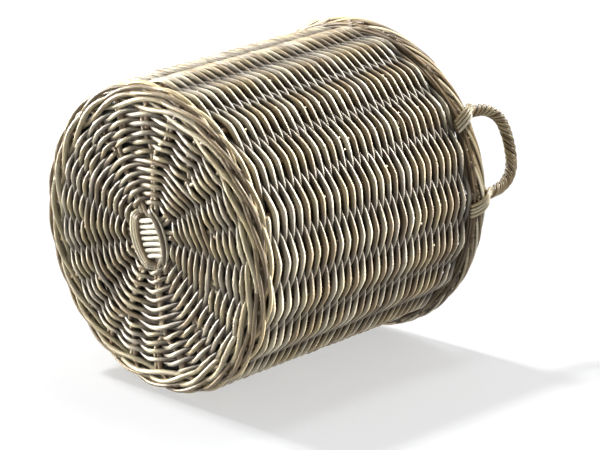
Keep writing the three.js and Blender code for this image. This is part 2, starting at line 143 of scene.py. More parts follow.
class Canes:
    """Gathers canes into one mesh. Each is a tube with closed ends."""

    END_TAPER = 0.82
    GRAIN_LENGTH = 900.0
    # In the bake map, as shares of a row: the gap before its canes, what they fill, and a cut end's radius
    ROW_GAP = 0.04
    ROW_FILL = 0.92
    CUT_RADIUS = 0.4

    def __init__(self, sides=8):
        self.sides = sides
        self.angles = 2 * np.pi * np.arange(sides) / sides
        self.rings, self.places, self.tones, self.shown = [], [], [], []
        self.quads, self.caps, self.spans = [], [], []
        self.count = 0
        self.length = 0.0
        self.girth = 0.0

    def add(self, points, diameter, tone, guide=(0, 0, 1), flat=1.0, shown=None):
        """guide is a direction that the tube's section keeps to, and flat is its height against its width.
        shown gives how far a place is out of the crevices, from 0 to 1, for an array of places; below 1 the
        place gets painted shade."""
        points = np.asarray(points, float)
        n, k = len(points), self.sides
        radius = np.broadcast_to(np.asarray(diameter, float) / 2, (n,)).copy()
        radius[[0, -1]] *= self.END_TAPER
        along = unit(np.gradient(points, axis=0))
        side = unit(np.cross(along, np.broadcast_to(np.asarray(guide, float), (n, 3))))
        up = np.cross(side, along)
        across = radius[:, None] * np.cos(self.angles)
        above = radius[:, None] * np.sin(self.angles)
        ring = points[:, None] + across[:, :, None] * side[:, None] - flat * above[:, :, None] * up[:, None]
        ring = ring.reshape(-1, 3)
        place = travelled(points)
        grain = place[:, None] + rng.uniform(0, self.GRAIN_LENGTH)
        self.rings.append(ring)
        self.shown.append(np.ones(n * k) if shown is None else shown(ring))
        self.places.append(np.stack(np.broadcast_arrays(across, above, grain), -1).reshape(-1, 3))
        self.tones.append(np.repeat(np.broadcast_to(np.asarray(tone, float), (n,)), k))
        i, j = np.meshgrid(np.arange(n - 1), np.arange(k), indexing="ij")
        a, b = self.count + i * k + j, self.count + i * k + (j + 1) % k
        self.quads.append(np.stack([a, b, b + k, a + k], -1).reshape(-1, 4))
        start, stop = self.length + place[:-1], self.length + place[1:]
        self.spans.append(np.stack(np.broadcast_arrays(start[:, None], stop[:, None], j), -1).reshape(-1, 3))
        self.caps.append(self.count + np.arange(k)[::-1])
        self.caps.append(self.count + (n - 1) * k + np.arange(k))
        self.count += n * k
        self.length += place[-1]
        self.girth = max(self.girth, 2 * np.pi * radius.max())

    def bake_map(self, cap_count):
        """Where the faces' corners go in the bake map. The canes lie side by side, folded into rows, and
        their cut ends fill one more row."""
        starts, stops, sides = np.vstack(self.spans).T
        fold = math.sqrt(self.length * self.girth)
        rows = math.ceil(self.length / fold)
        margin = 2 * np.max(stops - starts) / fold
        row = np.floor((starts + stops) / 2 / fold)
        left, right = [(ends / fold - row + margin) / (1 + 2 * margin) for ends in (starts, stops)]
        low, high = [
            (row + self.ROW_GAP + self.ROW_FILL * edge / self.sides) / (rows + 1)
            for edge in (sides, sides + 1)
        ]
        sheet = np.stack([left, low, left, high, right, high, right, low], -1).reshape(-1, 2)
        middle = (np.arange(cap_count) + 0.5) / cap_count
        round_u = middle[:, None] + self.CUT_RADIUS / cap_count * np.cos(self.angles)
        round_v = (rows + 0.5 + self.CUT_RADIUS * np.sin(self.angles)) / (rows + 1)
        ends = np.stack(np.broadcast_arrays(round_u, round_v[None]), -1).reshape(-1, 2)
        return np.vstack([sheet, ends])

    def piece(self, name, material, slot, *nodes):
        """The mesh as an object that rides on the basket and stands for those CAD nodes."""
        quads, caps = np.vstack(self.quads), np.vstack(self.caps)
        corners = np.concatenate([quads.ravel(), caps.ravel()])
        cap_starts = 4 * len(quads) + self.sides * np.arange(len(caps))
        starts = np.concatenate([4 * np.arange(len(quads)), cap_starts])
        is_side = np.arange(len(starts)) < len(quads)
        mesh = bpy.data.meshes.new(name)
        mesh.vertices.add(self.count)
        mesh.vertices.foreach_set("co", (np.vstack(self.rings) * MM).astype(np.float32).ravel())
        mesh.loops.add(len(corners))
        mesh.loops.foreach_set("vertex_index", corners.astype(np.int32))
        mesh.polygons.add(len(starts))
        mesh.polygons.foreach_set("loop_start", starts.astype(np.int32))
        mesh.update(calc_edges=True)
        mesh.polygons.foreach_set("use_smooth", is_side)
        for attribute, kind, domain, field, values in (
            ("cane_place", "FLOAT_VECTOR", "POINT", "vector", np.vstack(self.places)),
            ("cane_tone", "FLOAT", "POINT", "value", np.concatenate(self.tones)),
            ("cane_shown", "FLOAT", "POINT", "value", np.concatenate(self.shown)),
            ("cane_cut", "FLOAT", "FACE", "value", ~is_side),
        ):
            data = mesh.attributes.new(attribute, kind, domain).data
            data.foreach_set(field, values.astype(np.float32).ravel())
        layer = mesh.uv_layers.new(name="OFBake")
        layer.uv.foreach_set("vector", self.bake_map(len(caps)).astype(np.float32).ravel())
        mesh.materials.append(material)
        piece = new_object(name, mesh)
        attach(piece, "root")
        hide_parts(*nodes)


# The camera looks at the basket lying on its side, from below its base. Its place is in metres, and the
# picture is 600 pixels wide.
PICTURE_WIDTH = 600
SENSOR_WIDTH = 36
FOCAL_PIXELS = 1457.2
SHIFT_PIXELS = (0.9, -0.84)
CAMERA_PLACE = Vector((1.2471, -0.1598, -1.0000))
CAMERA_RIGHT = Vector((0.70422, 0.22734, 0.67260))
CAMERA_DOWN = Vector((-0.08432, 0.96742, -0.23872))
CAMERA_FORWARD = Vector((-0.70495, 0.11140, 0.70045))

camera_data = bpy.data.cameras.new("camera")
camera_data.sensor_width = SENSOR_WIDTH
camera_data.lens = FOCAL_PIXELS * SENSOR_WIDTH / PICTURE_WIDTH
camera_data.clip_start = 0.05
camera_data.clip_end = 20
camera_data.shift_x = SHIFT_PIXELS[0] / PICTURE_WIDTH
camera_data.shift_y = SHIFT_PIXELS[1] / PICTURE_WIDTH
camera = new_object("camera", camera_data)
axes = Matrix((CAMERA_RIGHT, -CAMERA_DOWN, -CAMERA_FORWARD)).transposed()
camera.matrix_world = Matrix.Translation(CAMERA_PLACE) @ axes.to_4x4()
bpy.context.scene.camera = camera


def new_material(name):
    """A material with an empty node tree, and that tree."""
    material = bpy.data.materials.new(name)
    material.use_nodes = True
    material.node_tree.nodes.clear()
    return material, material.node_tree


def feed(tree, socket, value):
    """Gives a socket what another node puts out, or else a fixed value."""
    if isinstance(value, bpy.types.NodeSocket):
        tree.links.new(value, socket)
    else:
        socket.default_value = value


def math_node(tree, operation, first, second, clamp=False):
    node = tree.nodes.new("ShaderNodeMath")
    node.operation = operation
    node.use_clamp = clamp
    feed(tree, node.inputs[0], first)
    feed(tree, node.inputs[1], second)
    return node.outputs[0]


def scaled(tree, value, size):
    return math_node(tree, "MULTIPLY", value, size)


def centred(tree, noise, size):
    """A noise from 0 to 1 as one round 0, from half the size below it to half the size above."""
    return scaled(tree, math_node(tree, "SUBTRACT", noise, 0.5), size)


def noise_node(tree, vector, scale, detail, roughness):
    stretch = tree.nodes.new("ShaderNodeVectorMath")
    stretch.operation = "MULTIPLY"
    stretch.inputs[1].default_value = scale
    feed(tree, stretch.inputs[0], vector)
    noise = tree.nodes.new("ShaderNodeTexNoise")
    noise.inputs["Scale"].default_value = 1.0
    noise.inputs["Detail"].default_value = detail
    noise.inputs["Roughness"].default_value = roughness
    feed(tree, noise.inputs["Vector"], stretch.outputs[0])
    return noise.outputs["Fac"]


def colour_mix(tree, kind, share, first, second):
    mix = tree.nodes.new("ShaderNodeMix")
    mix.data_type = "RGBA"
    mix.blend_type = kind
    mix.clamp_factor = True
    # Of the node's sockets, these are its factor and its two colours.
    for index, value in ((0, share), (6, first), (7, second)):
        feed(tree, mix.inputs[index], value)
    return mix.outputs[2]


def finish_surface(tree, colour, rough, height, strength, distance):
    """The shader and the output, with a bump of that strength and depth in metres."""
    shader = tree.nodes.new("ShaderNodeBsdfPrincipled")
    feed(tree, shader.inputs["Base Color"], colour)
    feed(tree, shader.inputs["Roughness"], rough)
    bump = tree.nodes.new("ShaderNodeBump")
    bump.inputs["Strength"].default_value = strength
    bump.inputs["Distance"].default_value = distance
    feed(tree, bump.inputs["Height"], height)
    feed(tree, shader.inputs["Normal"], bump.outputs["Normal"])
    output = tree.nodes.new("ShaderNodeOutputMaterial")
    feed(tree, output.inputs["Surface"], shader.outputs[0])


# The noises of a cane's surface: scale per millimetre across, up and along it, detail and roughness
PATCHES = ((0.10, 0.10, 0.012), 2.0, 0.5)
STREAKS = ((1.1, 1.1, 0.035), 3.0, 0.65)
FINE_GRAIN = ((3.4, 3.4, 0.16), 2.0, 0.6)
SPECKS = ((0.9, 0.9, 0.55), 2.0, 0.7)
# The joints of a cane, in millimetres: how far apart, half their width, and how ragged
JOINT_SPACING = 192.0
JOINT_HALF_WIDTH = 0.8
JOINT_RAGGEDNESS = 1.6
JOINT_COLOUR = (0.07, 0.045, 0.025, 1)
SPECK_LEVEL = 0.70
SPECK_COLOUR = (0.09, 0.06, 0.035, 1)
CUT_COLOUR = (0.62, 0.52, 0.36, 1)
# The colour of the painted shade in the crevices
CREVICE_SHADE_COLOUR = (0.035, 0.024, 0.013, 1)


def cane_material(name, tones, gloss=0.36, cut_colour=CUT_COLOUR):
    """Weathered cane: a tone for each cane, long streaks along the grain, dark joints, pale cut ends and
    painted shade in its crevices.
    """
    material, tree = new_material(name)

    def attribute(kind, output="Fac"):
        node = tree.nodes.new("ShaderNodeAttribute")
        node.attribute_name = f"cane_{kind}"
        return node.outputs[output]

    place = attribute("place", "Vector")
    patches, streaks, fine, specks = [
        noise_node(tree, place, *noise) for noise in (PATCHES, STREAKS, FINE_GRAIN, SPECKS)
    ]

    ramp = tree.nodes.new("ShaderNodeValToRGB")
    ramp.color_ramp.interpolation = "LINEAR"
    elements = ramp.color_ramp.elements
    while len(elements) < len(tones):
        elements.new(0.5)
    for i, colour in enumerate(tones):
        elements[i].position = i / (len(tones) - 1)
        elements[i].color = (*colour, 1)
    drift = centred(tree, patches, 0.5)
    feed(tree, ramp.inputs["Fac"], math_node(tree, "ADD", attribute("tone"), drift, clamp=True))

    # Long streaks lighten and darken the cane, and the fine grain follows them.
    lift = math_node(tree, "ADD", centred(tree, streaks, 1.5), centred(tree, fine, 0.55))
    bright = math_node(tree, "ADD", lift, 1.0)
    brightness = tree.nodes.new("ShaderNodeCombineColor")
    for socket in brightness.inputs:
        feed(tree, socket, bright)
    colour = colour_mix(tree, "MULTIPLY", 1.0, ramp.outputs["Color"], brightness.outputs["Color"])

    # A dark ring marks each joint of the cane, about a hand apart.
    split = tree.nodes.new("ShaderNodeSeparateXYZ")
    feed(tree, split.inputs[0], place)
    ragged = math_node(tree, "ADD", split.outputs["Z"], scaled(tree, fine, JOINT_RAGGEDNESS))
    from_joint = math_node(tree, "PINGPONG", ragged, JOINT_SPACING / 2)
    ring = math_node(tree, "LESS_THAN", from_joint, JOINT_HALF_WIDTH)
    speck = math_node(tree, "GREATER_THAN", specks, SPECK_LEVEL)
    # Painted shade darkens the crevices, where the cane lies deep among its neighbours.
    hidden = math_node(tree, "SUBTRACT", 1.0, attribute("shown"))
    for share, over in (
        (scaled(tree, ring, 0.4), JOINT_COLOUR),
        (scaled(tree, speck, 0.45), SPECK_COLOUR),
        (attribute("cut"), cut_colour),
        (scaled(tree, hidden, 0.9), CREVICE_SHADE_COLOUR),
    ):
        colour = colour_mix(tree, "MIX", share, colour, over)

    rough = math_node(tree, "ADD", scaled(tree, streaks, 0.3), gloss - 0.15)
    height = math_node(tree, "ADD", scaled(tree, streaks, 0.8), scaled(tree, fine, 0.5))
    height = math_node(tree, "ADD", height, scaled(tree, ring, 0.25))
    finish_surface(tree, colour, rough, height, 0.55, 0.0005)
    return material


# The cane materials, each with the colours that a cane's tone runs through, from 0 to 1
grey_cane = cane_material(
    "weathered_cane",
    [
        (0.120, 0.086, 0.046),
        (0.205, 0.155, 0.088),
        (0.265, 0.218, 0.122),
        (0.250, 0.215, 0.138),
        (0.310, 0.272, 0.186),
        (0.255, 0.226, 0.178),
        (0.400, 0.360, 0.260),
    ],
)
brown_cane = cane_material(
    "brown_cane",
    [(0.060, 0.036, 0.020), (0.120, 0.078, 0.044), (0.200, 0.135, 0.078), (0.280, 0.205, 0.125)],
    gloss=0.4,
)
pale_cane = cane_material(
    "pale_cane",
    [(0.090, 0.060, 0.036), (0.240, 0.180, 0.110), (0.400, 0.355, 0.265), (0.480, 0.445, 0.365)],
    gloss=0.45,
    cut_colour=(0.7, 0.62, 0.46, 1),
)
border_cane = cane_material(
    "border_cane",
    [
        (0.062, 0.042, 0.024),
        (0.180, 0.128, 0.068),
        (0.330, 0.262, 0.155),
        (0.420, 0.365, 0.245),
        (0.540, 0.490, 0.370),
    ],
)
silver_cane = cane_material(
    "silver_cane",
    [(0.190, 0.128, 0.058), (0.330, 0.252, 0.130), (0.420, 0.355, 0.225), (0.560, 0.510, 0.380)],
)


# The sticks of the base. Their ends are counted from the one nearest +X, and leave the crossing in pairs.
HALF_LENGTH = CROSS_STICKS * STICK_PITCH / 2
HALF_WIDTH = LONG_STICKS * STICK_PITCH / 2
FIRST_LONG = -(LONG_STICKS // 2)
LOW_LAYER = BASE_AXIS_HEIGHT - STICK_LAYER_GAP / 2
HIGH_LAYER = BASE_AXIS_HEIGHT + STICK_LAYER_GAP / 2
# The tone of a stick where the weaving covers it, and over what length it fades to that from its middle
COVERED_TONE = 0.44
FADE_LENGTH = 8.0


def end_angle(index):
    return FIRST_END + index * END_PITCH


def pair_angle(index):
    """The direction of the pair that a stick's end belongs to, midway between its two ends."""
    return end_angle(index - ((index + 1) % 2) + 0.5)


def stick_end(heading, half, offset, index, height):
    """One half of a stick: out of the crossing beside its partner, and on alone where the pairs open out."""
    out = np.array([math.cos(heading), math.sin(heading), 0.0])
    left = np.array([-math.sin(heading), math.cos(heading), 0.0])
    pair = pair_angle(index)
    across = np.array([-math.sin(pair), math.cos(pair), 0.0])
    apart = (-1 if index % 2 == 1 else 1) * (STICK_DIAMETER / 2 + CLEARANCE) * across
    lift = np.array([0, 0, height])
    return [
        CROSSING + half * out + offset * left + lift,
        polar(SLATH_RADIUS - 2, pair, BASE_AXIS_HEIGHT) + CROSSING + apart,
        polar(OPENING_OUT_RADIUS + STICK_DIAMETER / 2, pair, BASE_AXIS_HEIGHT) + apart,
        polar((OPENING_OUT_RADIUS + BASE_WEAVE_RADIUS) / 2, end_angle(index), BASE_AXIS_HEIGHT),
        polar(BASE_WEAVE_RADIUS - 1, end_angle(index), BASE_AXIS_HEIGHT),
    ]


def lay_sticks(name, count, heading, half, first, height):
    """Sticks side by side in the crossing. first is the index of the first one's near end."""
    for i in range(count):
        offset = (i - (count - 1) / 2) * STICK_PITCH
        near = stick_end(heading, half, offset, (first + i) % END_COUNT, height)
        far_index = (first + END_COUNT // 2 + count - 1 - i) % END_COUNT
        far = stick_end(heading + math.pi, half, -offset, far_index, height)
        route = smooth_route([*far[::-1], *near], 4)
        reach = np.linalg.norm(route[:, :2] - CROSSING[:2], axis=1)
        uncovered = np.clip((HALF_WIDTH + FADE_LENGTH - reach) / FADE_LENGTH, 0, 1)
        tone = COVERED_TONE + rng.uniform(0.3, 0.54) * uncovered
        canes = Canes(10)
        canes.add(route, STICK_DIAMETER, tone)
        canes.piece(f"{name}_{i + 1}_cane", pale_cane, "pale_cane", f"{name}_{i + 1}")


lay_sticks("base_stick", LONG_STICKS, LONG_STICK_TURN, HALF_LENGTH, FIRST_LONG, LOW_LAYER)
cross_heading = CROSS_STICK_TURN + math.pi / 2
lay_sticks("cross_stick", CROSS_STICKS, cross_heading, HALF_WIDTH, FIRST_LONG + LONG_STICKS, HIGH_LAYER)


# The side stakes
def stake_route(angle):
    """From beside the nearest stick end out past the base's edge, round the bend and up into the border."""
    nearest = end_angle(math.floor((angle - FIRST_END) / END_PITCH + 0.5))
    side = -1 if angle < nearest else 1
    beside = (STICK_DIAMETER + STAKE_DIAMETER) / 2 + 2 * CLEARANCE
    inner = BASE_WEAVE_RADIUS - STAKE_DEPTH_IN_BASE
    outer = BASE_WEAVE_RADIUS - 4
    inner_turn = math.asin(beside / inner)
    outer_turn = max(math.asin(beside / outer), abs(angle - nearest) / 3)
    line = [
        polar(inner, nearest + side * inner_turn, BASE_AXIS_HEIGHT),
        polar(outer, nearest + side * outer_turn, BASE_AXIS_HEIGHT),
    ]
    for bend in np.linspace(0, math.pi / 2, 3):
        radius = STAKE_CIRCLE_RADIUS - STAKE_BEND_RADIUS * (1 - math.sin(bend))
        line.append(polar(radius, angle, BASE_AXIS_HEIGHT + STAKE_BEND_RADIUS * (1 - math.cos(bend))))
    for height in (60.0, 150.0, 240.0, 320.0, STAKE_TOP):
        line.append(polar(stake_radius(height), angle, height))
    return smooth_route(line, 5)


for index in range(STAKE_COUNT):
    angle = FIRST_STAKE + index * STAKE_PITCH
    canes = Canes(8)
    tone = rng.uniform(0.1, 0.9)
    canes.add(stake_route(angle), STAKE_DIAMETER, tone, guide=(math.sin(angle), -math.cos(angle), 0))
    canes.piece(f"side_stake_{index + 1}_cane", brown_cane, "brown_cane", f"side_stake_{index + 1}")


def swing(turn, pointed):
    """How far to one side a weaver is as it passes in and out: 1 and -1 at the stakes it goes round."""
    return np.arcsin(pointed * np.cos(turn)) / np.arcsin(pointed)


def cut_canes(total, shortest, longest):
    """The lengths of cane that a long weaver is made up of, as pairs of start and end."""
    cuts = [0.0]
    while cuts[-1] < total:
        cuts.append(cuts[-1] + rng.uniform(shortest, longest))
    cuts[-1] = total
    return list(zip(cuts[:-1], cuts[1:]))


def lay_weaver(canes, weaver, place, lengths, overlap, diameters, drift_spacing, shown):
    """Lays the canes of a long weaver one after another. They pass the cuts by the overlap at both ends."""
    for start, end in cut_canes(place[-1], *lengths):
        inside = (place >= start - overlap[0]) & (place <= end + overlap[1])
        thickness = rng.uniform(*diameters) + wander(place[inside], drift_spacing, 0.12)
        canes.add(weaver[inside], thickness, rng.uniform(0, 1), shown=shown)


# The wall: one weaver that winds up round the stakes, made up of many canes
WALL_START = 21.4
WALL_END = 346.5
WALL_ROW_PITCH = 5.84
WALL_SWING = 6.1
WALL_POINTED = 0.96
WALL_STEPS = 10
WALL_MIDDLE_RADIUS = 176
# How far outside the stakes' axes a place is in a crevice of the wall, and fully out of it: painted shade
# fades out between these
WALL_CREVICE = (2.5, 8.0)
CUT_END_COUNT = 150
CUT_END_ROWS = (1, 53)


def shown_on_wall(places):
    return ease(np.hypot(places[:, 0], places[:, 1]) - stake_radius(places[:, 2]), *WALL_CREVICE)


wall_turns = (WALL_END - WALL_START) / WALL_ROW_PITCH
turn = FIRST_STAKE + np.arange(int(wall_turns * STAKE_COUNT * WALL_STEPS)) * STAKE_PITCH / WALL_STEPS
place = (turn - turn[0]) * WALL_MIDDLE_RADIUS
height = WALL_START + WALL_ROW_PITCH * (turn - turn[0]) / (2 * np.pi)
height = height + wander(place, 90, 0.28) + wander(place, 37, 0.16)
size = WALL_SWING + wander(place, 60, 0.28)
# It passes one stake outside and the next inside, so a whole swing takes two stakes.
lobe = STAKE_COUNT * (turn - FIRST_STAKE) / 2
weaver = polar(stake_radius(height) + size * swing(lobe, WALL_POINTED), turn, height)
canes = Canes(8)
lay_weaver(canes, weaver, place, (1150, 2300), (8, 10), (5.9, 6.6), 150, shown_on_wall)
# Here and there the cut end of a cane shows in a gap beside a stake.
for _ in range(CUT_END_COUNT):
    stake = rng.integers(STAKE_COUNT)
    angle = FIRST_STAKE + (stake + rng.uniform(-0.22, 0.22)) * STAKE_PITCH
    level = WALL_START + WALL_ROW_PITCH * (rng.integers(*CUT_END_ROWS) + stake / STAKE_COUNT)
    out = stake_radius(level) + np.array([0.0, rng.uniform(4.4, 6.4)])
    aslant = angle + np.array([0.0, rng.uniform(-0.01, 0.01)])
    canes.add(polar(out, aslant, level), rng.uniform(2.0, 3.0), 1.0)
canes.piece("wall_weave_cane", grey_cane, "grey_cane", "wall_weave")

# The base: two weavers that twist round each other. At each stick or pair one of them passes in front and
# the other behind, and they change places between the sticks. Their centre drifts to the base's middle.
PAIRS = END_COUNT // 2
TWINING_START = SLATH_RADIUS + 3.0
TWINING_PITCH = 10.0
TWINING_REACH = 2.6
TWINING_STEPS = 12
BASE_SWING = 4.8
BASE_POINTED = 0.9
# How far below the sticks' axes a place is in a crevice of the base, and fully out of it: painted shade
# fades out between these
BASE_CREVICE = (1.8, 7.8)


def shown_on_base(places):
    return ease(BASE_AXIS_HEIGHT - places[:, 2], *BASE_CREVICE)


def twining_radius(turn):
    return TWINING_START + TWINING_PITCH * (turn - pair_angle(0)) / (2 * np.pi)


def twining(canes, first, last, spacing):
    """The two weavers from one stick to another, past sticks that stand at that spacing."""
    turn = np.linspace(first, last, int(round((last - first) / spacing)) * TWINING_STEPS + 1)
    middle = twining_radius(turn)
    place = np.concatenate([[0], np.cumsum(middle[1:] * np.diff(turn))])
    middle = middle + wander(place, 90, 0.4)
    drift = np.clip((OPENING_OUT_RADIUS - middle) / (OPENING_OUT_RADIUS - SLATH_RADIUS), 0, 1)[:, None]
    for strand in range(2):
        phase = math.pi * ((turn - first) / spacing + strand)
        radius = middle + (TWINING_REACH + wander(place, 60, 0.3)) * np.sin(phase) + wander(place, 35, 0.2)
        weaver = polar(radius, turn, 0.0) + CROSSING * drift
        depth = (BASE_SWING + wander(place, 50, 0.15)) * swing(phase, BASE_POINTED)
        weaver[:, 2] = BASE_AXIS_HEIGHT - depth
        lay_weaver(canes, weaver, place, (500, 1300), (6, 8), (5.2, 5.9), 120, shown_on_base)


# They pass the sticks in pairs until they reach the radius where the pairs open out, and then one by one.
inner_count = round((OPENING_OUT_RADIUS - TWINING_START) / TWINING_PITCH * PAIRS)
inner_last = pair_angle(0) + inner_count * 2 * END_PITCH
outer_first = inner_last + END_PITCH / 2
outer_turns = (BASE_WEAVE_RADIUS - 4.5 - twining_radius(outer_first)) / TWINING_PITCH
canes = Canes(8)
twining(canes, pair_angle(0), inner_last, 2 * END_PITCH)
canes.piece("base_weave_inner_cane", grey_cane, "grey_cane", "base_weave_inner")
canes = Canes(8)
twining(canes, outer_first, outer_first + round(outer_turns * END_COUNT) * END_PITCH, END_PITCH)
canes.piece("base_weave_outer_cane", grey_cane, "grey_cane", "base_weave_outer")


def closed_wander(places, spacing, size):
    """The same drift for a ring, where the last place is the first one again."""
    drift = wander(places, spacing, size)
    return drift - (drift[-1] - drift[0]) * places / places[-1]


RING_STEPS = 8
RING_OVERLAP = 9.0


def twisted_ring(canes, count, period, centre, reach, diameter, lead, tones, cane_length=900):
    """Canes that wind round each other along a ring. The period is in stakes, and centre is a radius and a
    height. reach is how far they go out and up from it, and lead is where in its turn the first starts."""
    steps = STAKE_COUNT * RING_STEPS
    turn = FIRST_STAKE + np.arange(steps + 1) * STAKE_PITCH / RING_STEPS
    place = (turn - turn[0]) * centre[0]
    for strand in range(count):
        phase = 2 * np.pi * ((turn - FIRST_STAKE) / STAKE_PITCH - strand * period / count) / period + lead
        radius = centre[0] + (reach[0] + closed_wander(place, 70, 0.2)) * np.cos(phase)
        radius = radius + closed_wander(place, 110, 0.25)
        level = centre[1] + (reach[1] + closed_wander(place, 70, 0.15)) * np.sin(phase)
        line = polar(radius, turn, level)
        begin = rng.uniform(0, place[-1])
        for start, end in cut_canes(place[-1], 0.8 * cane_length, 1.2 * cane_length):
            first, last = np.array([begin + start - RING_OVERLAP, begin + end + RING_OVERLAP]) / place[1]
            passed = np.arange(math.floor(first), math.ceil(last) + 1)
            thickness = diameter + wander(passed * place[1], 120, 0.12)
            canes.add(line[passed % steps], thickness, rng.uniform(*tones))


# The wale that finishes the base, and the one that starts the wall
canes = Canes(8)
twisted_ring(canes, 3, 3, (157.8, 7.2), (6.4, 4.0), 6.0, -0.9, (0.15, 0.9))
twisted_ring(canes, 3, 3, (168.2, 9.4), (4.4, 4.2), 4.8, 0.3, (0.0, 0.08))
canes.piece("base_edge_wale_cane", grey_cane, "grey_cane", "base_edge_wale")
canes = Canes(8)
twisted_ring(canes, 3, 3, (170.0, 16.4), (5.9, 1.7), 4.8, 0.6, (0.25, 1.0))
canes.piece("foot_wale_cane", silver_cane, "grey_cane", "foot_wale")

# The binding round the crossing: arcs in front of the seven sticks that dive behind the four. Each has its
# side, its reach to that side, half its height, its diameter, its tone, and how far it is out of the painted
# crevice shade.
BINDING_ARCS = (
    (-1, 17.5, 30.0, 6.2, 0.05, 1.0),
    (-1, 23.0, 33.0, 4.3, 0.75, 1.0),
    (-1, 27.6, 36.0, 4.3, 0.90, 1.0),
    (1, 16.6, 31.0, 2.8, 0.95, 1.0),
    (1, 21.4, 33.0, 7.6, 0.00, 0.35),
    (1, 26.6, 35.0, 3.4, 0.75, 1.0),
)
ARC_HALF_ANGLE = 1.35
ARC_DIVE_ANGLE = 0.95
ARC_DEPTH = 2.4
ARC_DIVE = 9.0

canes = Canes(8)
for side, reach, half_height, diameter, tone, shown in BINDING_ARCS:
    bend = np.linspace(-ARC_HALF_ANGLE, ARC_HALF_ANGLE, 41)
    across = side * reach * np.cos(bend) ** 0.8
    along = half_height * np.sin(bend)
    depth = ARC_DEPTH + ARC_DIVE * np.clip((np.abs(bend) - ARC_DIVE_ANGLE) / 0.4, 0, 1) ** 1.5
    x = CROSSING[0] + across * math.cos(BINDING_TURN) - along * math.sin(BINDING_TURN)
    y = CROSSING[1] + across * math.sin(BINDING_TURN) + along * math.cos(BINDING_TURN)
    line = np.stack([x, y, depth], -1)
    canes.add(line, diameter, tone, flat=0.85, shown=lambda places: np.full(len(places), shown))
canes.piece("slath_binding_cane", grey_cane, "brown_cane", "slath_binding")

# The border: each stake's end, with a thin cane beside it, bends over and winds round the border's section
# as it runs on along it. The middle is a radius and a height, and the reach is out and up from it.
BORDER_MIDDLE = (187.8, 356.8)
BORDER_REACH = (12.0, 8.9)
BORDER_SPAN = math.radians(76)
BORDER_WINDING = (-140, 325)
# How far out a place is in a crevice of the border, and fully out of it, as a share of the reach; painted
# shade fades out between these
BORDER_CREVICE = (0.66, 0.97)
# The diameters and tones of the stakes' ends, which are thick and dark, and of the light canes beside them
BORDER_CANES = (((4.3, 5.4), (0.02, 0.60)), ((3.0, 3.9), (0.45, 1.00)))
# The tones of those dark canes, partly painted shade
DARK = (0.0, 0.15)


def shown_on_border(places):
    out = (np.hypot(places[:, 0], places[:, 1]) - BORDER_MIDDLE[0]) / BORDER_REACH[0]
    up = (places[:, 2] - BORDER_MIDDLE[1]) / BORDER_REACH[1]
    return ease(np.hypot(out, up), *BORDER_CREVICE)


canes = Canes(8)
for index in range(2 * STAKE_COUNT):
    share = np.linspace(0, 1, 60)
    begin = FIRST_STAKE + (index / 2 - 0.25) * STAKE_PITCH + rng.normal(0, 0.02)
    turn = begin + BORDER_SPAN * (share + 0.012 * np.sin(9 * share + rng.uniform(0, 6)))
    around = np.radians(BORDER_WINDING[0] + BORDER_WINDING[1] * share)
    bulge = 1 + wander(share * 280, 60, 0.035)
    diameters, tones = BORDER_CANES[index % 2]
    thickness = rng.uniform(*diameters) * (1 - 0.15 * share)
    # Its tone is painted darker where it comes up out of the hollow under the border, as shade there.
    tone = rng.uniform(*tones) * (0.15 + 0.85 * ease(share, 0.10, 0.24))
    radius = BORDER_MIDDLE[0] + (BORDER_REACH[0] - thickness / 2) * bulge * np.cos(around)
    level = BORDER_MIDDLE[1] + (BORDER_REACH[1] - thickness / 2) * bulge * np.sin(around)
    guide = unit(np.stack([np.cos(turn), np.sin(turn), 0 * turn], -1))
    canes.add(polar(radius, turn, level), thickness, tone, guide=guide, shown=shown_on_border)
# Dark canes fill the border, and more of them lie over each other in the hollow between it and the wall.
# Their dark tone is partly the canes' own and partly painted shade for the border's gaps and that hollow.
twisted_ring(canes, 5, 10.5, (187.0, 356.5), (5.2, 3.5), 6.4, 0.0, DARK)
twisted_ring(canes, 3, 5.25, (184.6, 350.4), (3.2, 1.4), 5.0, 0.8, DARK, cane_length=260)
twisted_ring(canes, 3, 5.25, (190.0, 350.2), (2.8, 1.5), 4.4, 2.1, DARK, cane_length=260)
# Short torn fibres lie in the gaps beside each stake, with a few pale flecks.
FIBRES_PER_STAKE = 12
FLECK_SHARE = 0.2
FLECK_DIAMETER = 1.3
for index in range(STAKE_COUNT):
    for _ in range(FIBRES_PER_STAKE):
        angle = FIRST_STAKE + (index + rng.uniform(-0.35, 0.35)) * STAKE_PITCH
        down = math.radians(rng.uniform(-80, -38))
        reach = rng.uniform(11.2, 12.5)
        fleck = rng.random() < FLECK_SHARE
        length = rng.uniform(0.004, 0.010) if fleck else rng.uniform(0.025, 0.060)
        slope = rng.uniform(-1.5, 4.5)
        ends = polar(
            BORDER_MIDDLE[0] + reach * math.cos(down) + np.array([-0.6, 0.6]),
            angle + np.array([0.0, length]),
            BORDER_MIDDLE[1] + 0.74 * reach * math.sin(down) + np.array([0.0, slope]),
        )
        diameter, tone = (FLECK_DIAMETER, 1.0) if fleck else (rng.uniform(1.8, 2.8), 0.02)
        canes.add(smooth_route(ends, 2), diameter, tone)
canes.piece("rim_border_cane", border_cane, "grey_cane", "rim_border")

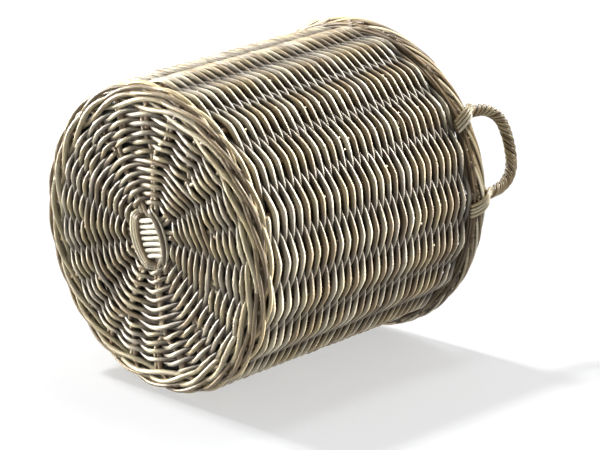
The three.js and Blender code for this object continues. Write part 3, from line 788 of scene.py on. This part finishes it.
# The handles: a bent core rod, strands twisted round it, and strands that bind each foot to the border
HANDLE_SPREAD = 100.0
HANDLE_RISE = 59.0
HANDLE_FOOT_RUN = 3.0
HANDLE_LEAN = 5.5
HANDLE_SQUARENESS = 0.726
FOOT_RADIUS = 189.0
FOOT_ANGLE = math.asin(HANDLE_SPREAD / 2 / FOOT_RADIUS)
ROPE_FOOT = BORDER_TOP + 1.2 + 4.0 + CLEARANCE
LEG_BOTTOM = WALL_TOP - 70
CORE_DIAMETER = 7.0
STRAND_DIAMETER = 2.7
STRAND_COUNT = 5
LAY_LENGTH = 40.5
ROPE_REACH = 5.8
ROPE_TONES = (0.0, 0.7)
# The strands of a foot's binding: how many, how far apart, how far they slant and at about what radius
BINDING_STRANDS = 4
BINDING_PITCH = 4.1
BINDING_SLANT = 18.0
BINDING_RADIUS = 190.0
# Their way down outside and inside the border: radius, height, a share of the pitch and one of the slant
BINDING_OUTSIDE = (
    (192.5, 340.0, 1.0, 0.70),
    (199.0, 345.0, 1.0, 0.50),
    (202.2, 352.5, 1.0, 0.28),
    (201.8, 361.0, 0.92, 0.06),
    (198.0, 368.3, 0.8, -0.14),
    (195.4, 374.5, 0.62, -0.22),
    (194.0, 381.0, 0.45, -0.20),
)
BINDING_INSIDE = (
    (178.5, 352.5, 1.0, 0.5),
    (175.9, 357.0, 1.0, 0.36),
    (176.2, 363.5, 0.95, 0.2),
    (180.0, 369.5, 0.8, 0.0),
    (183.0, 375.5, 0.6, -0.16),
    (183.8, 381.5, 0.45, -0.2),
)


def arch_points(side):
    """The handle's arch from one foot to the other, on the side that is 1 at +X and -1 at -X."""
    foot_x = FOOT_RADIUS * math.cos(FOOT_ANGLE)
    springing = ROPE_FOOT + HANDLE_FOOT_RUN
    points = [(side * foot_x, side * HANDLE_SPREAD / 2, ROPE_FOOT)]
    for turn in np.linspace(0, math.pi, 19):
        out = math.copysign(abs(math.cos(turn)) ** HANDLE_SQUARENESS, math.cos(turn))
        up = max(math.sin(turn), 0) ** HANDLE_SQUARENESS
        leaning = side * (foot_x + HANDLE_LEAN * up)
        points.append((leaning, side * out * HANDLE_SPREAD / 2, springing + HANDLE_RISE * up))
    points.append((side * foot_x, -side * HANDLE_SPREAD / 2, ROPE_FOOT))
    return np.array(points)


def leg_angle(foot_angle):
    """The direction of a core's leg, moved round where needed to stand clear of the nearest stake."""
    nearest = FIRST_STAKE + round((foot_angle - FIRST_STAKE) / STAKE_PITCH) * STAKE_PITCH
    room = (STAKE_DIAMETER + CORE_DIAMETER) / 2 + 4 * CLEARANCE
    room_angle = math.asin(room / stake_radius(LEG_BOTTOM))
    side = -1 if foot_angle < nearest else 1
    return nearest + side * max(abs(foot_angle - nearest), room_angle)


def leg_points(foot_angle):
    """A core's leg, from its end down in the wall up to the foot of the arch."""
    angle = leg_angle(foot_angle)
    return [
        polar(stake_radius(LEG_BOTTOM), angle, LEG_BOTTOM),
        polar(stake_radius(WALL_TOP - 6), angle, WALL_TOP - 6),
        polar(FOOT_RADIUS, angle, BORDER_TOP - 8),
        polar(FOOT_RADIUS, foot_angle, ROPE_FOOT - HANDLE_FOOT_RUN),
    ]


def rope_strands(canes, line):
    """Strands wound left-handed round a line, each of two thin canes side by side, with painted shade where
    they dip in.
    """
    along = unit(np.gradient(line, axis=0))
    place = travelled(line)
    first = unit(np.cross(along, (1.0, 0.0, 0.0)))
    second = np.cross(along, first)
    centre = np.repeat(line, canes.sides, axis=0)

    # Painted shade darkens each strand where it dips in towards the core, between its neighbours.
    def shown_on_rope(places):
        out = np.linalg.norm(places - centre, axis=1)
        return 0.25 + 0.75 * ease(out, ROPE_REACH - 0.4, ROPE_REACH + 1.1)

    for strand in range(STRAND_COUNT):
        middle = 2 * np.pi * strand / STRAND_COUNT - 2 * np.pi * place / LAY_LENGTH + rng.normal(0, 0.08)
        tone = rng.uniform(*ROPE_TONES)
        for partner in (-1, 1):
            phase = middle + partner * 0.22 + wander(place, 40, 0.03)
            out = np.cos(phase)[:, None] * first + np.sin(phase)[:, None] * second
            swell = ROPE_REACH + 0.2 * partner + wander(place, 25, 0.15)
            thickness = STRAND_DIAMETER + wander(place, 40, 0.08)
            shade = tone + rng.normal(0, 0.26)
            canes.add(line + swell[:, None] * out, thickness, shade, guide=out, shown=shown_on_rope)


def foot_binding(canes, angle):
    """Strands that carry the rope on down over the border, outside and inside, and tuck in below it."""
    tangential = (-math.sin(angle), math.cos(angle), 0)
    for section in (BINDING_OUTSIDE, BINDING_INSIDE):
        for strand in range(BINDING_STRANDS):
            shift = (strand - (BINDING_STRANDS - 1) / 2) * BINDING_PITCH + rng.normal(0, 0.15)
            line = [
                polar(radius, angle + (shift * width + BINDING_SLANT * lean) / BINDING_RADIUS, height)
                for radius, height, width, lean in section
            ]
            route = smooth_route(line, 2.5)
            thickness = rng.uniform(3.1, 3.6) + wander(np.arange(len(route)) * 2.5, 30, 0.1)
            canes.add(route, thickness, rng.uniform(0.45, 1.0), guide=tangential)


for number, side in ((1, 1), (2, -1)):
    name = f"handle_{number}"
    middle = 0.0 if side > 0 else math.pi
    feet = [middle + FOOT_ANGLE, middle - FOOT_ANGLE]
    arch = arch_points(side)
    legs = [leg_points(foot) for foot in feet]
    canes = Canes(10)
    core = smooth_route(np.array([*legs[0], *arch, *legs[1][::-1]]), 3)
    canes.add(core, CORE_DIAMETER, 0.2, guide=(1, 0, 0))
    canes.piece(f"{name}_core_cane", brown_cane, "brown_cane", f"{name}_core")
    canes = Canes(8)
    rope_strands(canes, smooth_route(arch, 2.0))
    canes.piece(f"{name}_rope_cane", silver_cane, "silver_cane", f"{name}_rope")
    for foot in range(2):
        canes = Canes(8)
        foot_binding(canes, feet[foot])
        node = f"{name}_binding_{foot + 1}"
        canes.piece(f"{node}_cane", silver_cane, "silver_cane", node)

# The liner: a thin plastic bag whose wall is lightly creased, with its hem folded at the top
LINER_BOTTOM = 16.05
LINER_TOP = 355.5
LINER_THICKNESS = 1.0
LINER_ROOM = 5.9
LINER_COLUMNS = 336
LINER_DISC_RADII = (30.0, 80.0, 125.0)
HEM_DEPTH = 6.5
HEM_THICKNESS = 1.8
FILM_COLOUR = (0.010, 0.010, 0.010, 1)
SCUFF_COLOUR = (0.024, 0.023, 0.022, 1)
DUST_COLOUR = (0.07, 0.065, 0.055, 1)


def liner_radius(height):
    """The liner's outside, which leaves room for the weaver inside the stakes."""
    return stake_radius(height) - STAKE_DIAMETER / 2 - LINER_ROOM - CLEARANCE


def liner_sheet(around, levels):
    """The outside of the liner's wall: its creases go inwards only."""
    turn, level = np.meshgrid(around, levels)
    crease = 0.5 + 0.5 * np.sin(13 * turn + 0.021 * level + 0.9 * np.sin(5 * turn))
    fold = 0.5 + 0.5 * np.sin(29 * turn - 0.034 * level + 1.7 * np.sin(3 * turn + 0.01 * level))
    depth = 1.5 * crease**3 + 0.8 * fold**4
    return polar(liner_radius(level) - depth, turn, level)


def liner_mesh(name):
    around = np.linspace(0, 2 * np.pi, LINER_COLUMNS + 1)[:-1]
    creased = np.linspace(24, LINER_TOP - 6, 42)
    levels = np.concatenate([[LINER_BOTTOM + 1.5], creased, [LINER_TOP - 1, LINER_TOP]])
    outside = liner_sheet(around, levels)
    inward = np.stack([np.cos(around), np.sin(around), 0 * around], -1)[None]
    thick = np.where(levels > LINER_TOP - HEM_DEPTH, HEM_THICKNESS, LINER_THICKNESS)[:, None, None]
    inside = (outside - thick * inward)[::-1]
    foot = liner_radius(LINER_BOTTOM)
    floor_top = LINER_BOTTOM + LINER_THICKNESS
    under = [polar(radius, around, LINER_BOTTOM)[None] for radius in (*LINER_DISC_RADII, foot - 2.5)]
    over = [polar(radius, around, floor_top)[None] for radius in (*LINER_DISC_RADII, foot - 5.0)]
    rings = np.concatenate([*under, outside, inside, *over[::-1]])
    rows, columns = rings.shape[:2]
    i, j = np.meshgrid(np.arange(rows - 1), np.arange(columns), indexing="ij")
    a, b = i * columns + j, i * columns + (j + 1) % columns
    quads = np.stack([a, b, b + columns, a + columns], -1).reshape(-1, 4)
    caps = [list(range(columns))[::-1], [(rows - 1) * columns + j for j in range(columns)]]
    mesh = bpy.data.meshes.new(name)
    mesh.from_pydata((rings.reshape(-1, 3) * MM).tolist(), [], quads.tolist() + caps)
    mesh.update()
    mesh.polygons.foreach_set("use_smooth", np.ones(len(mesh.polygons), bool))
    return mesh


def plastic_material(name):
    """Dark plastic film: fine wrinkles, dull scuffs and a little dust."""
    material, tree = new_material(name)
    place = tree.nodes.new("ShaderNodeTexCoord").outputs["Object"]
    wrinkles = noise_node(tree, place, (38, 38, 60), 4.0, 0.6)
    scuffs = noise_node(tree, place, (14, 14, 9), 3.0, 0.65)
    dust = noise_node(tree, place, (420, 420, 420), 1.0, 0.5)
    colour = colour_mix(tree, "MIX", scuffs, FILM_COLOUR, SCUFF_COLOUR)
    dusty = scaled(tree, math_node(tree, "GREATER_THAN", dust, 0.66), 0.35)
    colour = colour_mix(tree, "MIX", dusty, colour, DUST_COLOUR)
    rough = math_node(tree, "ADD", scaled(tree, scuffs, 0.35), 0.28)
    finish_surface(tree, colour, rough, wrinkles, 0.5, 0.0015)
    return material


liner = new_object("liner_sheet", liner_mesh("liner_sheet"))
liner.data.materials.append(plastic_material("dark_liner_plastic"))
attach(liner, "root")
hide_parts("liner")

# The floor that the basket lies on in the picture touches the base's edge and the border. It is in metres.
FLOOR_NORMAL = Vector((0.25389, -0.96534, 0.06047))
FLOOR_OFFSET = -0.17795
FLOOR_SHIFT = -0.1
FLOOR_HALF_WIDTH = 14.0
PAPER_COLOUR = (0.300, 0.303, 0.310, 1)
PAPER_GLOW = 0.55

floor_mesh = bpy.data.meshes.new("floor")
across = FLOOR_NORMAL.cross(Vector((0, 0, 1))).normalized()
onward = FLOOR_NORMAL.cross(across).normalized()
middle = FLOOR_NORMAL * FLOOR_OFFSET + onward * FLOOR_SHIFT
corners = [
    middle + across * (x * FLOOR_HALF_WIDTH) + onward * (y * FLOOR_HALF_WIDTH)
    for x, y in ((-1, -1), (1, -1), (1, 1), (-1, 1))
]
floor_mesh.from_pydata([tuple(corner) for corner in corners], [], [(0, 1, 2, 3)])
floor_mesh.update()
if floor_mesh.polygons[0].normal.dot(FLOOR_NORMAL) < 0:
    floor_mesh.flip_normals()
floor = new_object("floor", floor_mesh)
floor.visible_shadow = False

# White paper that also glows a little, and is clear from below
paper, tree = new_material("studio_paper")
matt = tree.nodes.new("ShaderNodeBsdfDiffuse")
matt.inputs["Color"].default_value = PAPER_COLOUR
glowing = tree.nodes.new("ShaderNodeEmission")
glowing.inputs["Color"].default_value = (1.0, 1.0, 1.0, 1)
glowing.inputs["Strength"].default_value = PAPER_GLOW
both = tree.nodes.new("ShaderNodeAddShader")
feed(tree, both.inputs[0], matt.outputs[0])
feed(tree, both.inputs[1], glowing.outputs[0])
clear = tree.nodes.new("ShaderNodeBsdfTransparent")
facing = tree.nodes.new("ShaderNodeNewGeometry")
either = tree.nodes.new("ShaderNodeMixShader")
feed(tree, either.inputs[0], facing.outputs["Backfacing"])
feed(tree, either.inputs[1], both.outputs[0])
feed(tree, either.inputs[2], clear.outputs[0])
output = tree.nodes.new("ShaderNodeOutputMaterial")
feed(tree, output.inputs["Surface"], either.outputs[0])
floor_mesh.materials.append(paper)

# The sky gives soft light from above the floor and from behind the basket, and a little from all round.
SKY_GLOW = 0.04
world = bpy.data.worlds.new("studio")
world.use_nodes = True
tree = world.node_tree
sky = tree.nodes["Background"]
sky.inputs["Color"].default_value = (1, 1, 1, 1)
heading = tree.nodes.new("ShaderNodeTexCoord")


def sky_patch(direction, low, high, strength):
    """Light from the part of the sky round a direction: from low to high are cosines, from none to full."""
    towards = tree.nodes.new("ShaderNodeVectorMath")
    towards.operation = "DOT_PRODUCT"
    towards.inputs[1].default_value = Vector(direction).normalized()
    feed(tree, towards.inputs[0], heading.outputs["Generated"])
    ramp = tree.nodes.new("ShaderNodeMapRange")
    ramp.interpolation_type = "SMOOTHSTEP"
    ramp.inputs["From Min"].default_value = low
    ramp.inputs["From Max"].default_value = high
    ramp.inputs["To Min"].default_value = 0.0
    ramp.inputs["To Max"].default_value = strength
    feed(tree, ramp.inputs["Value"], towards.outputs["Value"])
    return ramp.outputs[0]


overhead = sky_patch((0.254, -0.965, 0.060), 0.0, 0.95, 0.62)
behind = sky_patch((-0.25, -0.24, 0.94), 0.62, 0.95, 0.8)
glow = math_node(tree, "ADD", math_node(tree, "ADD", overhead, behind), SKY_GLOW)
feed(tree, sky.inputs["Strength"], glow)
bpy.context.scene.world = world
bpy.context.scene.view_settings.view_transform = "Standard"


def lamp(name, direction, strength, softness, colour, lit):
    """A far lamp whose light comes from that direction, that many degrees wide. It lights one collection."""
    data = bpy.data.lights.new(name, "SUN")
    data.energy = strength
    data.color = colour
    data.angle = math.radians(softness)
    light = new_object(name, data)
    light.rotation_mode = "QUATERNION"
    light.rotation_quaternion = Vector(direction).to_track_quat("Z", "Y")
    light.light_linking.receiver_collection = lit


def gather(name, members):
    """A collection that only says what a lamp lights."""
    collection = bpy.data.collections.new(name)
    for member in members:
        collection.objects.link(member)
    return collection


# The key lamps light the basket and the floor apart. Strong edge lamps stand behind the weaving, and a
# weaker one behind the border and the handles. Two lamps light the base from the left, and one lights the
# border alone.
pieces = [each for each in bpy.context.scene.objects if each.type == "MESH" and each is not floor]
on_top = [each.name.startswith(("handle", "rim")) for each in pieces]
basket = gather("basket", pieces)
woven = gather("woven", [each for each, is_top in zip(pieces, on_top) if not is_top])
top = gather("top", [each for each, is_top in zip(pieces, on_top) if is_top])
border = gather("border", [bpy.data.objects["rim_border_cane"]])
ground = gather("ground", [floor])
WHITE = (1.0, 1.0, 1.0)
WARM = (1.0, 0.965, 0.890)
lamp("left_lamp", (-0.28, -0.92, 0.27), 1.9, 7, WHITE, basket)
lamp("right_lamp", (0.24, -0.92, 0.32), 0.5, 10, WHITE, basket)
lamp("right_edge_lamp", (0.35, -0.46, 0.82), 15.0, 36, WARM, woven)
lamp("low_edge_lamp", (0.38, 0.22, 0.90), 14.0, 36, WARM, woven)
lamp("top_edge_lamp", (0.28, -0.36, 0.89), 4.5, 12, WARM, top)
lamp("left_edge_lamp", (-0.90, -0.32, -0.24), 9.0, 30, WARM, basket)
lamp("base_lamp", (-0.76, -0.40, -0.50), 10.6, 40, WARM, basket)
lamp("border_lamp", (0.40, -0.88, -0.10), 6.0, 8, WARM, border)
lamp("left_floor_lamp", (-0.25, -0.965, 0.02), 3.4, 7, WHITE, ground)
lamp("right_floor_lamp", (0.24, -0.92, 0.32), 0.9, 12, WHITE, ground)
